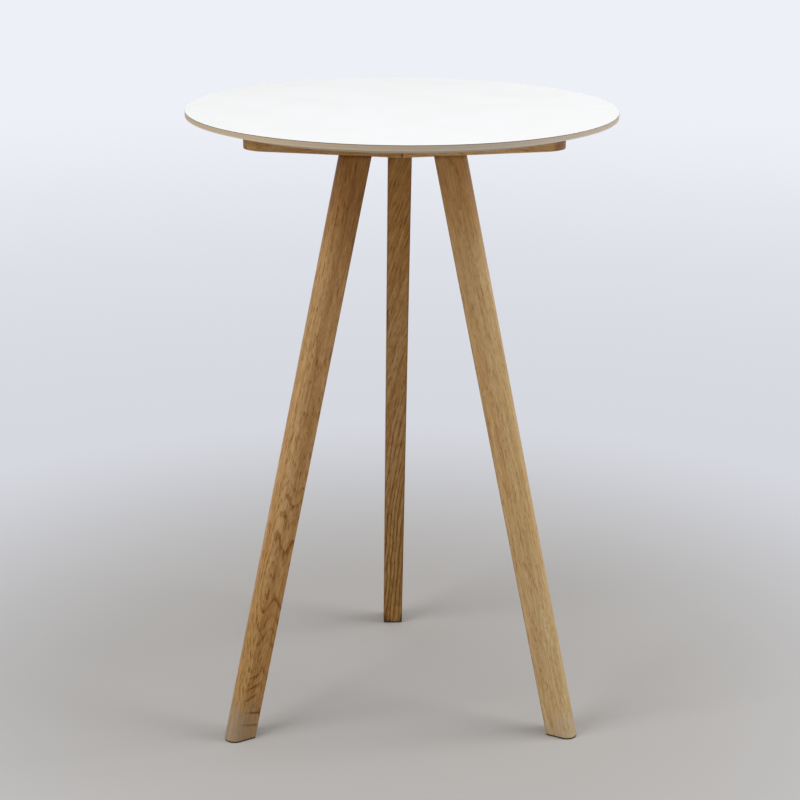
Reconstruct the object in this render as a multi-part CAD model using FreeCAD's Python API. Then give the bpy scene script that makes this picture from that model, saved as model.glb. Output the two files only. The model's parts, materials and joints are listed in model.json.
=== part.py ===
import FreeCAD, Part
import math
import os

# Standing meeting table: a round laminated top on a mitred star of three tapered oak arms,
# with a splayed oak leg bolted under each arm.
# Millimetres. +Z is up, the origin is on the floor under the middle of the top, and the rear leg is on +Y.
# Every piece of one arm and its leg is drawn along +X and then turned to its place.

# Top board
TABLE_HEIGHT = 1050.0
TOP_DIAMETER = 700.0
LAMINATE_THICKNESS = 0.9
CORE_THICKNESS = 16.2
BACKING_THICKNESS = 0.9
TOP_EDGE_UPRIGHT = 8.7
TOP_BEVEL_WIDTH = 33.7
TOP_EDGE_BREAK = 0.3

# Arms of the star
ARM_WIDTH = 40.0
ARM_TIP_SETBACK = 63.0
ARM_DEPTH_AT_AXIS = 62.0
ARM_DEPTH_AT_TIP = 25.0
ARM_EDGE_ROUND = 3.0
MITRE_GAP = 0.8

# Legs
LEG_DEPTH = 48.0
LEG_FOOT_WIDTH = 35.0
LEG_TOP_INNER_RADIUS = 56.2
FOOT_INSET = 4.9
LEG_EDGE_ROUND = 1.8
FOOT_EDGE_BREAK = 1.0

# Felt pads under the feet
PAD_THICKNESS = 2.5
PAD_INSET = 0.3

# Leg bolts, with their washers and threaded inserts
LEG_BOLT_DIAMETER = 8.0
LEG_BOLT_HEAD_DIAMETER = 13.0
LEG_BOLT_HEAD_HEIGHT = 8.0
LEG_BOLT_KEY = 6.0
LEG_BOLT_SEAT_DEPTH = 14.0
LEG_BOLT_BITE = 24.4
LEG_WASHER_DIAMETER = 16.0
LEG_WASHER_THICKNESS = 1.6
LEG_INSERT_DIAMETER = 14.0
LEG_INSERT_LENGTH = 30.0
LEG_INSERT_RECESS = 1.5

# Dowels beside each leg bolt
DOWEL_DIAMETER = 8.0
DOWEL_LENGTH = 40.0
DOWEL_SPACING = 30.0
DOWEL_END_ROOM = 1.0

# Screws that hold the top, with their washers and threaded inserts
TOP_SCREW_DIAMETER = 6.0
TOP_SCREW_HEAD_DIAMETER = 10.0
TOP_SCREW_HEAD_HEIGHT = 6.0
TOP_SCREW_KEY = 5.0
TOP_SCREW_GRIP = 15.0
TOP_SCREW_BITE = 10.0
TOP_WASHER_DIAMETER = 12.0
TOP_WASHER_THICKNESS = 1.6
TOP_INSERT_DIAMETER = 10.0
TOP_INSERT_LENGTH = 12.0
TOP_INSERT_END_ROOM = 1.0
TOP_SCREW_FROM_LEG = 30.0
TOP_SCREW_FROM_TIP = 38.0

# Steel star let into the tops of the arms, and its countersunk screws
HUB_PLATE_WIDTH = 26.0
HUB_PLATE_THICKNESS = 4.0
HUB_PLATE_FROM_BOLT = 8.0
HUB_SCREW_DIAMETER = 5.0
HUB_SCREW_HEAD_DIAMETER = 9.0
HUB_SCREW_LENGTH = 30.0
HUB_SCREW_POINT = 6.0
HUB_SCREW_FROM_MITRE = 14.0

# Loose tongues across the mitres
TONGUE_WIDTH = 20.0
TONGUE_THICKNESS = 6.0
TONGUE_UNDER_PLATE = 8.0
TONGUE_OVER_UNDERSIDE = 12.0

# Clearances: fit is for glued and threaded pieces, room is for clearance holes and counterbores
FIT = 0.05
ROOM = 0.5
OVERSHOOT = 5.0

# Hexagon sockets of the cap screws
KEY_SIDES = 6
KEY_DEPTH_SHARE = 0.5

# The star's three arms, and the mitre that lies one half sector after each arm
AZIMUTH_DEGREES = {"right": 330.0, "rear": 90.0, "left": 210.0}
MITRE_AFTER = {"right": "right", "rear": "left", "left": "front"}
SECTOR_DEGREES = 360.0 / len(AZIMUTH_DEGREES)
MITRE_DEGREES = SECTOR_DEGREES / 2

# Sizes that follow
top_radius = TOP_DIAMETER / 2
top_thickness = LAMINATE_THICKNESS + CORE_THICKNESS + BACKING_THICKNESS
underside = TABLE_HEIGHT - top_thickness
arm_reach = top_radius - ARM_TIP_SETBACK
arm_half = ARM_WIDTH / 2
arm_slope = (ARM_DEPTH_AT_AXIS - ARM_DEPTH_AT_TIP) / arm_reach
mitre_angle = math.radians(MITRE_DEGREES)
mitre_point = MITRE_GAP / 2 / math.sin(mitre_angle)
mitre_corner = mitre_point + arm_half / math.tan(mitre_angle)
mitre_length = arm_half / math.sin(mitre_angle)
foot_inner_radius = top_radius - FOOT_INSET - LEG_DEPTH
leg_splay = (foot_inner_radius - LEG_TOP_INNER_RADIUS) / underside
leg_lean = math.atan(leg_splay)
foot_middle_radius = foot_inner_radius + LEG_DEPTH / 2

# The joint is where the middle line of the leg meets the sloping underside of its arm
joint_height = (underside - ARM_DEPTH_AT_AXIS + arm_slope * foot_middle_radius) / (1 + arm_slope * leg_splay)
joint_radius = foot_middle_radius - leg_splay * joint_height
down_leg = FreeCAD.Vector(math.sin(leg_lean), 0, -math.cos(leg_lean))
joint = FreeCAD.Vector(joint_radius, 0, joint_height)
bolt_seat_to_joint = (underside - joint_height) / math.cos(leg_lean) - LEG_BOLT_SEAT_DEPTH
bolt_seat = joint - down_leg * bolt_seat_to_joint

counterbore_radius = LEG_WASHER_DIAMETER / 2 + ROOM
bolt_radius_on_top = joint_radius - leg_splay * (underside - joint_height)
counterbore_inner = bolt_radius_on_top - counterbore_radius / math.cos(leg_lean)
hub_plate_reach = counterbore_inner - HUB_PLATE_FROM_BOLT
hub_screw_radii = [mitre_corner + HUB_SCREW_FROM_MITRE, hub_plate_reach - HUB_PLATE_WIDTH / 2]
leg_outer_at_joint = joint_radius + LEG_DEPTH / 2
top_screw_radii = [leg_outer_at_joint + TOP_SCREW_FROM_LEG, arm_reach - TOP_SCREW_FROM_TIP]
top_screw_seat = underside - TOP_SCREW_GRIP


def at(x, y, z):
    return FreeCAD.Vector(x, y, z)


def arm_underside(radius):
    """Height of the arm's sloping underside at a distance from the table's axis."""
    return underside - ARM_DEPTH_AT_AXIS + arm_slope * radius


def turned(shape, degrees):
    """A copy of a shape, turned about the table's axis."""
    copy = shape.copy()
    copy.rotate(at(0, 0, 0), at(0, 0, 1), degrees)
    return copy


def all_round(shapes):
    """One compound with a copy of the shapes for each arm."""
    copies = [turned(shape, degrees) for degrees in AZIMUTH_DEGREES.values() for shape in shapes]
    return Part.makeCompound(copies)


def closed_face(edges):
    return Part.Face(Part.Wire([edge.toShape() for edge in edges]))


def ring(outer_radius, inner_radius, height, base, direction):
    outer = Part.makeCylinder(outer_radius, height, base, direction)
    return outer.cut(Part.makeCylinder(inner_radius, height, base, direction))


def stadium(length, width, height, base_height):
    """Upright bar with round ends, centred on the axis, long along Y."""
    half = width / 2
    end = length / 2 - half
    outline = [
        Part.LineSegment(at(half, -end, base_height), at(half, end, base_height)),
        Part.Arc(at(half, end, base_height), at(0, end + half, base_height), at(-half, end, base_height)),
        Part.LineSegment(at(-half, end, base_height), at(-half, -end, base_height)),
        Part.Arc(at(-half, -end, base_height), at(0, -end - half, base_height), at(half, -end, base_height)),
    ]
    return closed_face(outline).extrude(at(0, 0, height))


def key_socket(across_flats, depth, base, direction):
    """Six-sided prism for a hexagon key, with one corner towards Y."""
    corner_radius = across_flats / 2 / math.cos(math.pi / KEY_SIDES)
    sideways = at(0, 1, 0)
    points = []
    for step in range(KEY_SIDES + 1):
        spoke = FreeCAD.Rotation(direction, 360.0 * step / KEY_SIDES).multVec(sideways)
        points.append(base + spoke * corner_radius)
    return Part.Face(Part.makePolygon(points)).extrude(direction * depth)


def cap_screw(diameter, length, head_diameter, head_height, key, under_head, direction):
    """Socket head screw: the shank runs from under the head along the direction."""
    shank = Part.makeCylinder(diameter / 2, length, under_head, direction)
    head = Part.makeCylinder(head_diameter / 2, head_height, under_head, -direction)
    socket_depth = head_height * KEY_DEPTH_SHARE
    socket = key_socket(key, socket_depth, under_head - direction * head_height, direction)
    return shank.fuse(head).cut(socket).removeSplitter()


def top_blank():
    """The whole board, turned: flat face, broken edge, upright edge, bevel and flat underside."""
    bevel_top = TABLE_HEIGHT - TOP_EDGE_UPRIGHT
    points = [
        at(0, 0, underside),
        at(top_radius - TOP_BEVEL_WIDTH, 0, underside),
        at(top_radius, 0, bevel_top),
        at(top_radius, 0, TABLE_HEIGHT - TOP_EDGE_BREAK),
        at(top_radius - TOP_EDGE_BREAK, 0, TABLE_HEIGHT),
        at(0, 0, TABLE_HEIGHT),
        at(0, 0, underside),
    ]
    return Part.Face(Part.makePolygon(points)).revolve(at(0, 0, 0), at(0, 0, 1), 360)


def top_layer(low, thickness):
    slab = Part.makeCylinder(top_radius + OVERSHOOT, thickness, at(0, 0, low))
    return top_blank().common(slab)


def top_insert_holes():
    depth = TOP_INSERT_LENGTH + TOP_INSERT_END_ROOM
    radius = TOP_INSERT_DIAMETER / 2 + FIT
    return all_round([Part.makeCylinder(radius, depth, at(r, 0, underside)) for r in top_screw_radii])


def hub_star(room):
    """Three bars with round ends, the first along +X, grown by a clearance at the sides and on top."""
    half = HUB_PLATE_WIDTH / 2 + room
    end = hub_plate_reach - HUB_PLATE_WIDTH / 2
    base = underside - HUB_PLATE_THICKNESS
    outline = [
        Part.LineSegment(at(0, -half, base), at(end, -half, base)),
        Part.Arc(at(end, -half, base), at(end + half, 0, base), at(end, half, base)),
        Part.LineSegment(at(end, half, base), at(0, half, base)),
        Part.LineSegment(at(0, half, base), at(0, -half, base)),
    ]
    bar = closed_face(outline).extrude(at(0, 0, HUB_PLATE_THICKNESS + room))
    bars = [turned(bar, SECTOR_DEGREES * step) for step in range(len(AZIMUTH_DEGREES))]
    return bars[0].multiFuse(bars[1:]).removeSplitter()


def hub_screw(radius, room):
    """Countersunk wood screw, head flush with the plate, grown by a clearance all round."""
    shank_radius = HUB_SCREW_DIAMETER / 2 + room
    head_radius = HUB_SCREW_HEAD_DIAMETER / 2 + room
    head_height = head_radius - shank_radius
    point_height = underside - HUB_SCREW_LENGTH - room
    point_length = HUB_SCREW_POINT
    shank_height = underside - head_height - point_height - point_length
    head = Part.makeCone(shank_radius, head_radius, head_height, at(radius, 0, underside - head_height))
    shank = Part.makeCylinder(shank_radius, shank_height, at(radius, 0, point_height + point_length))
    point = Part.makeCone(0, shank_radius, point_length, at(radius, 0, point_height))
    return head.multiFuse([shank, point]).removeSplitter()


def tongue(room):
    """Tongue across the mitre that lies along +X, grown by a clearance all round."""
    middle = mitre_length / 2
    low = arm_underside(mitre_corner / 2) + TONGUE_OVER_UNDERSIDE - room
    high = underside - HUB_PLATE_THICKNESS - TONGUE_UNDER_PLATE + room
    bar = stadium(TONGUE_WIDTH + 2 * room, TONGUE_THICKNESS + 2 * room, high - low, low)
    bar.translate(at(middle, 0, 0))
    return bar


def dowel(side, room, end_room):
    """Dowel along the leg, half in the arm and half in the leg."""
    radius = joint_radius + side * DOWEL_SPACING / 2
    middle = at(radius, 0, arm_underside(radius))
    half_length = DOWEL_LENGTH / 2 + end_room
    start = middle - down_leg * half_length
    return Part.makeCylinder(DOWEL_DIAMETER / 2 + room, 2 * half_length, start, down_leg)


def arm_blank():
    """Plan outline with a mitre point and a round tip, cut to the sloping underside, edges rounded."""
    straight_end = arm_reach - arm_half
    low = underside - ARM_DEPTH_AT_AXIS
    outline = [
        Part.LineSegment(at(mitre_point, 0, low), at(mitre_corner, -arm_half, low)),
        Part.LineSegment(at(mitre_corner, -arm_half, low), at(straight_end, -arm_half, low)),
        Part.Arc(at(straight_end, -arm_half, low), at(arm_reach, 0, low), at(straight_end, arm_half, low)),
        Part.LineSegment(at(straight_end, arm_half, low), at(mitre_corner, arm_half, low)),
        Part.LineSegment(at(mitre_corner, arm_half, low), at(mitre_point, 0, low)),
    ]
    prism = closed_face(outline).extrude(at(0, 0, ARM_DEPTH_AT_AXIS))
    sloped = prism.cut(below_arm())
    return sloped.makeFillet(ARM_EDGE_ROUND, [edge for edge in sloped.Edges if is_lower_edge(edge)])


def is_lower_edge(edge):
    """True for the arm's lower edges along its sides and round its tip, not along the mitres."""
    middle = edge.valueAt((edge.FirstParameter + edge.LastParameter) / 2)
    points = [middle] + [vertex.Point for vertex in edge.Vertexes]
    on_underside = all(abs(point.z - arm_underside(point.x)) < FIT for point in points)
    at_side = abs(middle.y) > arm_half - FIT
    at_tip = middle.x > arm_reach - arm_half
    return on_underside and (at_side or at_tip)


def upright_prism(corners):
    """Prism across the arm, from corners in the upright plane through its middle."""
    half = ARM_WIDTH + LEG_DEPTH
    points = [at(x, -half, z) for x, z in corners]
    return Part.Face(Part.makePolygon(points + points[:1])).extrude(at(0, 2 * half, 0))


def below_arm():
    start = -OVERSHOOT
    end = arm_reach + OVERSHOOT
    low = arm_underside(start) - OVERSHOOT
    corners = [(start, low), (end, low), (end, arm_underside(end)), (start, arm_underside(start))]
    return upright_prism(corners)


def above_arm_underside():
    start = -LEG_DEPTH
    end = joint_radius + 2 * LEG_DEPTH
    high = underside + OVERSHOOT
    corners = [(start, arm_underside(start)), (end, arm_underside(end)), (end, high), (start, high)]
    return upright_prism(corners)


def arm():
    """One arm with its counterbores, dowel holes, tongue slots, plate recess and screw holes."""
    cuts = [hub_star(FIT)]
    cuts += [hub_screw(radius, FIT) for radius in hub_screw_radii]
    cuts += [turned(tongue(FIT), side * MITRE_DEGREES) for side in (-1, 1)]
    cuts += [dowel(side, FIT, DOWEL_END_ROOM) for side in (-1, 1)]
    counterbore_depth = LEG_BOLT_SEAT_DEPTH + counterbore_radius
    cuts.append(Part.makeCylinder(counterbore_radius, counterbore_depth, bolt_seat, -down_leg))
    bolt_hole_radius = LEG_BOLT_DIAMETER / 2 + ROOM
    cuts.append(Part.makeCylinder(bolt_hole_radius, bolt_seat_to_joint + OVERSHOOT, bolt_seat, down_leg))
    screw_pocket_radius = TOP_WASHER_DIAMETER / 2 + ROOM
    screw_hole_radius = TOP_SCREW_DIAMETER / 2 + ROOM
    for radius in top_screw_radii:
        seat = at(radius, 0, top_screw_seat)
        cuts.append(Part.makeCylinder(screw_pocket_radius, ARM_DEPTH_AT_AXIS, seat, at(0, 0, -1)))
        cuts.append(Part.makeCylinder(screw_hole_radius, TOP_SCREW_GRIP, seat))
    return arm_blank().cut(cuts)


def leg_width(height):
    """Width across the leg: the foot's at the floor and the arm's at the joint."""
    return LEG_FOOT_WIDTH + (ARM_WIDTH - LEG_FOOT_WIDTH) * height / joint_height


def leg_section(height, inset):
    """Level section: flat inner face with eased corners, flat sides and a round outer side."""
    half = leg_width(height) / 2 - inset
    inner = foot_inner_radius - leg_splay * height + inset
    outer = inner + LEG_DEPTH - 2 * inset
    middle = outer - half
    ease = LEG_EDGE_ROUND
    bulge = ease * (1 - math.sqrt(0.5))
    edges = [
        Part.LineSegment(at(inner, half - ease, height), at(inner, ease - half, height)),
        Part.Arc(
            at(inner, ease - half, height),
            at(inner + bulge, bulge - half, height),
            at(inner + ease, -half, height),
        ),
        Part.LineSegment(at(inner + ease, -half, height), at(middle, -half, height)),
        Part.Arc(at(middle, -half, height), at(outer, 0, height), at(middle, half, height)),
        Part.LineSegment(at(middle, half, height), at(inner + ease, half, height)),
        Part.Arc(
            at(inner + ease, half, height),
            at(inner + bulge, half - bulge, height),
            at(inner, half - ease, height),
        ),
    ]
    return Part.Wire([edge.toShape() for edge in edges])


def leg():
    """One leg: broken foot edge, straight taper, top cut to the arm's underside, bored for its fasteners."""
    sections = [
        leg_section(PAD_THICKNESS, FOOT_EDGE_BREAK),
        leg_section(PAD_THICKNESS + FOOT_EDGE_BREAK, 0),
        leg_section(underside, 0),
    ]
    blank = Part.makeLoft(sections, True, True).cut(above_arm_underside())
    insert_end = LEG_INSERT_RECESS + LEG_INSERT_LENGTH
    insert_hole = Part.makeCylinder(
        LEG_INSERT_DIAMETER / 2 + FIT,
        insert_end + OVERSHOOT,
        joint - down_leg * OVERSHOOT,
        down_leg,
    )
    tip_hole = Part.makeCylinder(LEG_BOLT_DIAMETER / 2 + ROOM, insert_end + OVERSHOOT, joint, down_leg)
    return blank.cut([insert_hole, tip_hole] + [dowel(side, FIT, DOWEL_END_ROOM) for side in (-1, 1)])


def foot_pad():
    """Felt pad, cut almost flush with the leg, a little wider than the broken edge that it is glued to."""
    outline = leg_section(PAD_THICKNESS, PAD_INSET)
    return Part.Face(outline).extrude(at(0, 0, -PAD_THICKNESS))


def leg_bolt():
    under_head = bolt_seat - down_leg * LEG_WASHER_THICKNESS
    length = LEG_WASHER_THICKNESS + bolt_seat_to_joint + LEG_INSERT_RECESS + LEG_BOLT_BITE
    print("leg bolt length under its head:", round(length, 1))
    head_size = (LEG_BOLT_HEAD_DIAMETER, LEG_BOLT_HEAD_HEIGHT, LEG_BOLT_KEY)
    return cap_screw(LEG_BOLT_DIAMETER, length, *head_size, under_head, down_leg)


def leg_bolt_washer():
    hole_radius = LEG_BOLT_DIAMETER / 2 + FIT
    return ring(LEG_WASHER_DIAMETER / 2, hole_radius, LEG_WASHER_THICKNESS, bolt_seat, -down_leg)


def leg_insert():
    start = joint + down_leg * LEG_INSERT_RECESS
    bore_radius = LEG_BOLT_DIAMETER / 2 + FIT
    return ring(LEG_INSERT_DIAMETER / 2, bore_radius, LEG_INSERT_LENGTH, start, down_leg)


def top_screw(radius):
    under_head = at(radius, 0, top_screw_seat - TOP_WASHER_THICKNESS)
    length = TOP_WASHER_THICKNESS + TOP_SCREW_GRIP + TOP_SCREW_BITE
    head_size = (TOP_SCREW_HEAD_DIAMETER, TOP_SCREW_HEAD_HEIGHT, TOP_SCREW_KEY)
    return cap_screw(TOP_SCREW_DIAMETER, length, *head_size, under_head, at(0, 0, 1))


def top_screw_washer(radius):
    base = at(radius, 0, top_screw_seat - TOP_WASHER_THICKNESS)
    hole_radius = TOP_SCREW_DIAMETER / 2 + FIT
    return ring(TOP_WASHER_DIAMETER / 2, hole_radius, TOP_WASHER_THICKNESS, base, at(0, 0, 1))


def top_insert(radius):
    base = at(radius, 0, underside)
    bore_radius = TOP_SCREW_DIAMETER / 2 + FIT
    return ring(TOP_INSERT_DIAMETER / 2, bore_radius, TOP_INSERT_LENGTH, base, at(0, 0, 1))


def hub_plate():
    holes = all_round([hub_screw(radius, FIT) for radius in hub_screw_radii])
    return turned(hub_star(0), AZIMUTH_DEGREES["rear"]).cut(holes)


def table():
    """Every node by name."""
    nodes = {
        "top_laminate": top_layer(TABLE_HEIGHT - LAMINATE_THICKNESS, LAMINATE_THICKNESS),
        "top_core": top_layer(underside + BACKING_THICKNESS, CORE_THICKNESS).cut(top_insert_holes()),
        "top_backing": top_layer(underside, BACKING_THICKNESS).cut(top_insert_holes()),
        "top_inserts": all_round([top_insert(radius) for radius in top_screw_radii]),
        "top_screws": all_round([top_screw(radius) for radius in top_screw_radii]),
        "top_screw_washers": all_round([top_screw_washer(radius) for radius in top_screw_radii]),
        "hub_plate": hub_plate(),
        "hub_plate_screws": all_round([hub_screw(radius, 0) for radius in hub_screw_radii]),
        "leg_bolts": all_round([leg_bolt()]),
        "leg_bolt_washers": all_round([leg_bolt_washer()]),
        "leg_inserts": all_round([leg_insert()]),
        "leg_dowels": all_round([dowel(side, 0, 0) for side in (-1, 1)]),
    }
    one_arm = arm()
    one_leg = leg()
    one_pad = foot_pad()
    one_tongue = tongue(0)
    for place, degrees in AZIMUTH_DEGREES.items():
        nodes["arm_" + place] = turned(one_arm, degrees)
        nodes["leg_" + place] = turned(one_leg, degrees)
        nodes["foot_pad_" + place] = turned(one_pad, degrees)
        nodes["mitre_tongue_" + MITRE_AFTER[place]] = turned(one_tongue, degrees + MITRE_DEGREES)
    return nodes


os.makedirs("parts", exist_ok=True)
for name, shape in table().items():
    shape.exportStep("parts/" + name + ".step")
    print(name, "solids", len(shape.Solids), "valid", shape.isValid(), "volume", round(shape.Volume))
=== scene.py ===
# %% [markdown]
# # A standing meeting table in oak, plywood and white laminate
#
# A round board lies on a star of three oak arms, and a splayed oak leg is bolted under each arm.
# The frame holds every piece at its real size. So this lesson gives the pieces their finish, and makes
# finer surfaces only for the legs and the pads under them. Most of the work is the wood: solid oak has
# rings that run right through each stick, and the edge of the board shows the veneers it was glued from.

# %% Load the frame
import json
import math
import bpy
import numpy as np
from mathutils import Matrix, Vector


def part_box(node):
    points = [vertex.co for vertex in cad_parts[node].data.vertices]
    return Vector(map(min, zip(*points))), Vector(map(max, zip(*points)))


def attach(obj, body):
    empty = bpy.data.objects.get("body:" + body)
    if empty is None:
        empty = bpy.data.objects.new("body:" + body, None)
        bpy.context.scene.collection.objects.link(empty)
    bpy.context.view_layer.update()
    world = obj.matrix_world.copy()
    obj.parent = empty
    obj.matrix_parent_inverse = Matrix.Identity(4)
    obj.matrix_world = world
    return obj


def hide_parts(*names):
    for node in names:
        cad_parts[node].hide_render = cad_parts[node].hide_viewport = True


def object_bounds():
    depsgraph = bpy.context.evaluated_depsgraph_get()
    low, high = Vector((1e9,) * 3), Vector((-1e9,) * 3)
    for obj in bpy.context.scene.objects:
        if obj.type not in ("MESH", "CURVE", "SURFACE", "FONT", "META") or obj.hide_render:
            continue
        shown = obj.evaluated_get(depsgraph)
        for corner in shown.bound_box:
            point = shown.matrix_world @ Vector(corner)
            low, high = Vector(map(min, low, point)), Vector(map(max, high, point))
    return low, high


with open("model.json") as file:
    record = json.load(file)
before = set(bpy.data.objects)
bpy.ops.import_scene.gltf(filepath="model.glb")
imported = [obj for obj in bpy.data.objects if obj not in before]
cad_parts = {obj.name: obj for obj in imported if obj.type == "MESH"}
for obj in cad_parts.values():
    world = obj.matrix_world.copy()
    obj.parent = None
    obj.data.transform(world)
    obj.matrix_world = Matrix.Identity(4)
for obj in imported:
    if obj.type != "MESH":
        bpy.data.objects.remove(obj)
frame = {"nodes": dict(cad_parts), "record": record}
nodes = frame["nodes"]
cad_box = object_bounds()
print("nodes in the frame:", len(nodes), "table height:", round(cad_box[1].z, 4))

# %% [markdown]
# ## The camera
#
# The picture was taken from about three metres away, with the camera above the board and tipped down,
# so that the board shows as a flat ellipse. A focal length in pixels turns into a lens length when it is
# shared over the sensor's width. The camera is turned in steps: round to the table, down, and a slight
# roll.

# %% Camera
IMAGE_PIXELS = 800
SENSOR_MM = 36.0
FOCAL_PIXELS = 1825.6
EYE_DISTANCE = 2.9582
EYE_HEIGHT = 1.5085
HEADING = math.radians(2.109)
PITCH = math.radians(17.914)
ROLL = math.radians(0.4)

camera_data = bpy.data.cameras.new("camera")
camera_data.sensor_width = SENSOR_MM
camera_data.lens = FOCAL_PIXELS * SENSOR_MM / IMAGE_PIXELS
camera = bpy.data.objects.new("camera", camera_data)
bpy.context.scene.collection.objects.link(camera)
eye = (-EYE_DISTANCE * math.sin(HEADING), -EYE_DISTANCE * math.cos(HEADING), EYE_HEIGHT)
facing = Matrix.Rotation(-HEADING, 4, "Z") @ Matrix.Rotation(math.pi / 2 - PITCH, 4, "X")
camera.matrix_world = Matrix.Translation(eye) @ facing @ Matrix.Rotation(ROLL, 4, "Z")
bpy.context.scene.camera = camera
bpy.context.scene.view_settings.view_transform = "Standard"
print("lens:", round(camera_data.lens, 2), "mm")

# %% [markdown]
# ## Formulas for finishes
#
# A finish is easier to read as a formula than as a drawing of boxes and wires. This class wraps one
# socket, and arithmetic on it adds Math nodes. Every other node comes from its `node` method, which
# sets the node up first and then fills or links its sockets.

# %% Shader arithmetic
class Wire:
    """One socket of a shader. Arithmetic with numbers or other wires adds Math nodes."""

    def __init__(self, tree, socket):
        self.tree = tree
        self.socket = socket

    def node(self, kind, settings=(), sockets=(), output=0):
        """Any node: its settings, then a value or a wire for each socket, and one of its outputs."""
        made = self.tree.nodes.new(kind)
        for name, value in dict(settings).items():
            setattr(made, name, value)
        for key, value in dict(sockets).items():
            if isinstance(value, Wire):
                self.tree.links.new(value.socket, made.inputs[key])
            else:
                made.inputs[key].default_value = value
        return Wire(self.tree, made.outputs[output]) if made.outputs else None

    def math(self, operation, *values):
        """A Math node, with the values or wires in the order of its sockets."""
        return self.node("ShaderNodeMath", {"operation": operation}, enumerate(values))

    def __add__(self, other):
        return self.math("ADD", self, other)

    __radd__ = __add__

    def __sub__(self, other):
        return self.math("SUBTRACT", self, other)

    def __rsub__(self, other):
        return self.math("SUBTRACT", other, self)

    def __mul__(self, other):
        return self.math("MULTIPLY", self, other)

    __rmul__ = __mul__

    def __truediv__(self, other):
        return self.math("DIVIDE", self, other)

    def __rtruediv__(self, other):
        return self.math("DIVIDE", other, self)

    def __pow__(self, other):
        return self.math("POWER", self, other)

    def __rpow__(self, other):
        return self.math("POWER", other, self)


# %% Places on a surface
MM_PER_METRE = 1000
UPRIGHT_AXES = ((1, 0, 0), (0, 1, 0), (0, 0, 1))


def begin(name):
    """A new material, and the wire of its Object coordinates in metres."""
    material = bpy.data.materials.new(name)
    material.use_nodes = True
    tree = material.node_tree
    tree.nodes.clear()
    place = Wire(tree, tree.nodes.new("ShaderNodeTexCoord").outputs["Object"])
    return material, place


def along(place, direction):
    """How far a place lies along a direction, in millimetres."""
    scaled = [MM_PER_METRE * part for part in direction]
    return place.node("ShaderNodeVectorMath", {"operation": "DOT_PRODUCT"}, {0: place, 1: scaled}, 1)


def millimetres(place):
    """The three coordinates of a place."""
    return [along(place, axis) for axis in UPRIGHT_AXES]


def vector(x, y, z):
    """One wire that carries three numbers. The first of them is a wire at least."""
    return x.node("ShaderNodeCombineXYZ", {}, {0: x, 1: y, 2: z})


def spot(where, centre, reach):
    """Distance from the middle of an egg-shaped spot, in shares of its reach each way: 1 on its edge."""
    apart = where.node("ShaderNodeVectorMath", {"operation": "SUBTRACT"}, {0: where, 1: centre})
    shares = where.node("ShaderNodeVectorMath", {"operation": "DIVIDE"}, {0: apart, 1: reach})
    return where.node("ShaderNodeVectorMath", {"operation": "LENGTH"}, {0: shares}, 1)


def cloud(ways, fine, slow, detail=2.0, roughness=0.5):
    """Smooth noise from 0 to 1 over three ways in millimetres. fine is the number of lumps in a millimetre
    along the first two ways and slow along the third, so a small slow draws the lumps out that way."""
    first, second, third = ways
    where = vector(first * fine, second * fine, third * slow)
    sockets = {"Vector": where, "Scale": 1.0, "Detail": detail, "Roughness": roughness}
    return where.node("ShaderNodeTexNoise", {"noise_dimensions": "3D"}, sockets)


# %% Shares, colours and relief
def ease(value, low, high):
    """0 below low, 1 above high and a smooth rise between."""
    sockets = {0: value, 1: low, 2: high, 3: 0.0, 4: 1.0}
    return value.node("ShaderNodeMapRange", {"interpolation_type": "SMOOTHSTEP"}, sockets)


def blend(share, first, second, way="MIX"):
    """Colour mix: share 0 gives the first colour and 1 the second. One of the three is a wire at least."""
    wire = next(value for value in (share, first, second) if isinstance(value, Wire))
    settings = {"data_type": "RGBA", "blend_type": way}
    return wire.node("ShaderNodeMix", settings, {0: share, 6: first, 7: second}, 2)


def paint(red, green, blue):
    """A colour as eyes and paint charts count it, from 0 to 255, made linear for the shader."""
    parts = np.array([red, green, blue]) / 255
    linear = np.where(parts > 0.04045, ((parts + 0.055) / 1.055) ** 2.4, parts / 12.92)
    return (*linear.tolist(), 1.0)


def bump(height, depth):
    """Normal of a relief: height from 0 to 1, depth in metres."""
    return height.node("ShaderNodeBump", {}, {"Strength": 1.0, "Distance": depth, "Height": height})


def surface(place, **sockets):
    """Principled shader on the material's output. Underscores in a socket's name stand for spaces."""
    named = {name.replace("_", " "): value for name, value in sockets.items()}
    shader = place.node("ShaderNodeBsdfPrincipled", {}, named)
    place.node("ShaderNodeOutputMaterial", {}, {"Surface": shader})


# %% [markdown]
# ## Oak
#
# A tree adds a ring each year: a band of open pores in spring, which looks dark and dashed, and dense
# pale wood in summer. A sawn stick cuts through those rings, so the same rings show as straight lines on
# one side and as flames on the next. A picture of grain can't do that round a corner. So each stick gets
# the distance from the middle of its tree, bent a little by noise, and the rings are steps of that
# distance.

# %% Rings of the tree
def rings(ways, board):
    """Years of growth at a place, and its share of flame. The years are the distance from the middle of the
    tree, the pith, over the width of a ring. drift lets the pith wander, figure sways the rings, ripple
    crinkles them, and an arch lifts them. The flame is a bell curve along the stick, 1 at the arch."""
    across, through, length = ways
    drift = cloud(ways, fine=0.008, slow=0.0035, detail=1.0)
    swirl = cloud(ways, fine=0.028, slow=0.0085, detail=1.0)
    ripple = cloud(ways, fine=0.16, slow=0.03)
    x = across - board["pith"][0] + (drift - 0.5) * board["drift"]
    y = through - board["pith"][1] - (drift - 0.5) * board["drift"]
    distance = (x * x + y * y) ** 0.5
    flame = math.e ** (-1 * ((length - board["arch_at"]) / board["arch_length"]) ** 2.0)
    lifted = distance + board["arch"] * flame
    bent = lifted + (swirl - 0.5) * board["figure"] + (ripple - 0.5) * board["ripple"]
    return bent / board["ring"], flame


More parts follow.
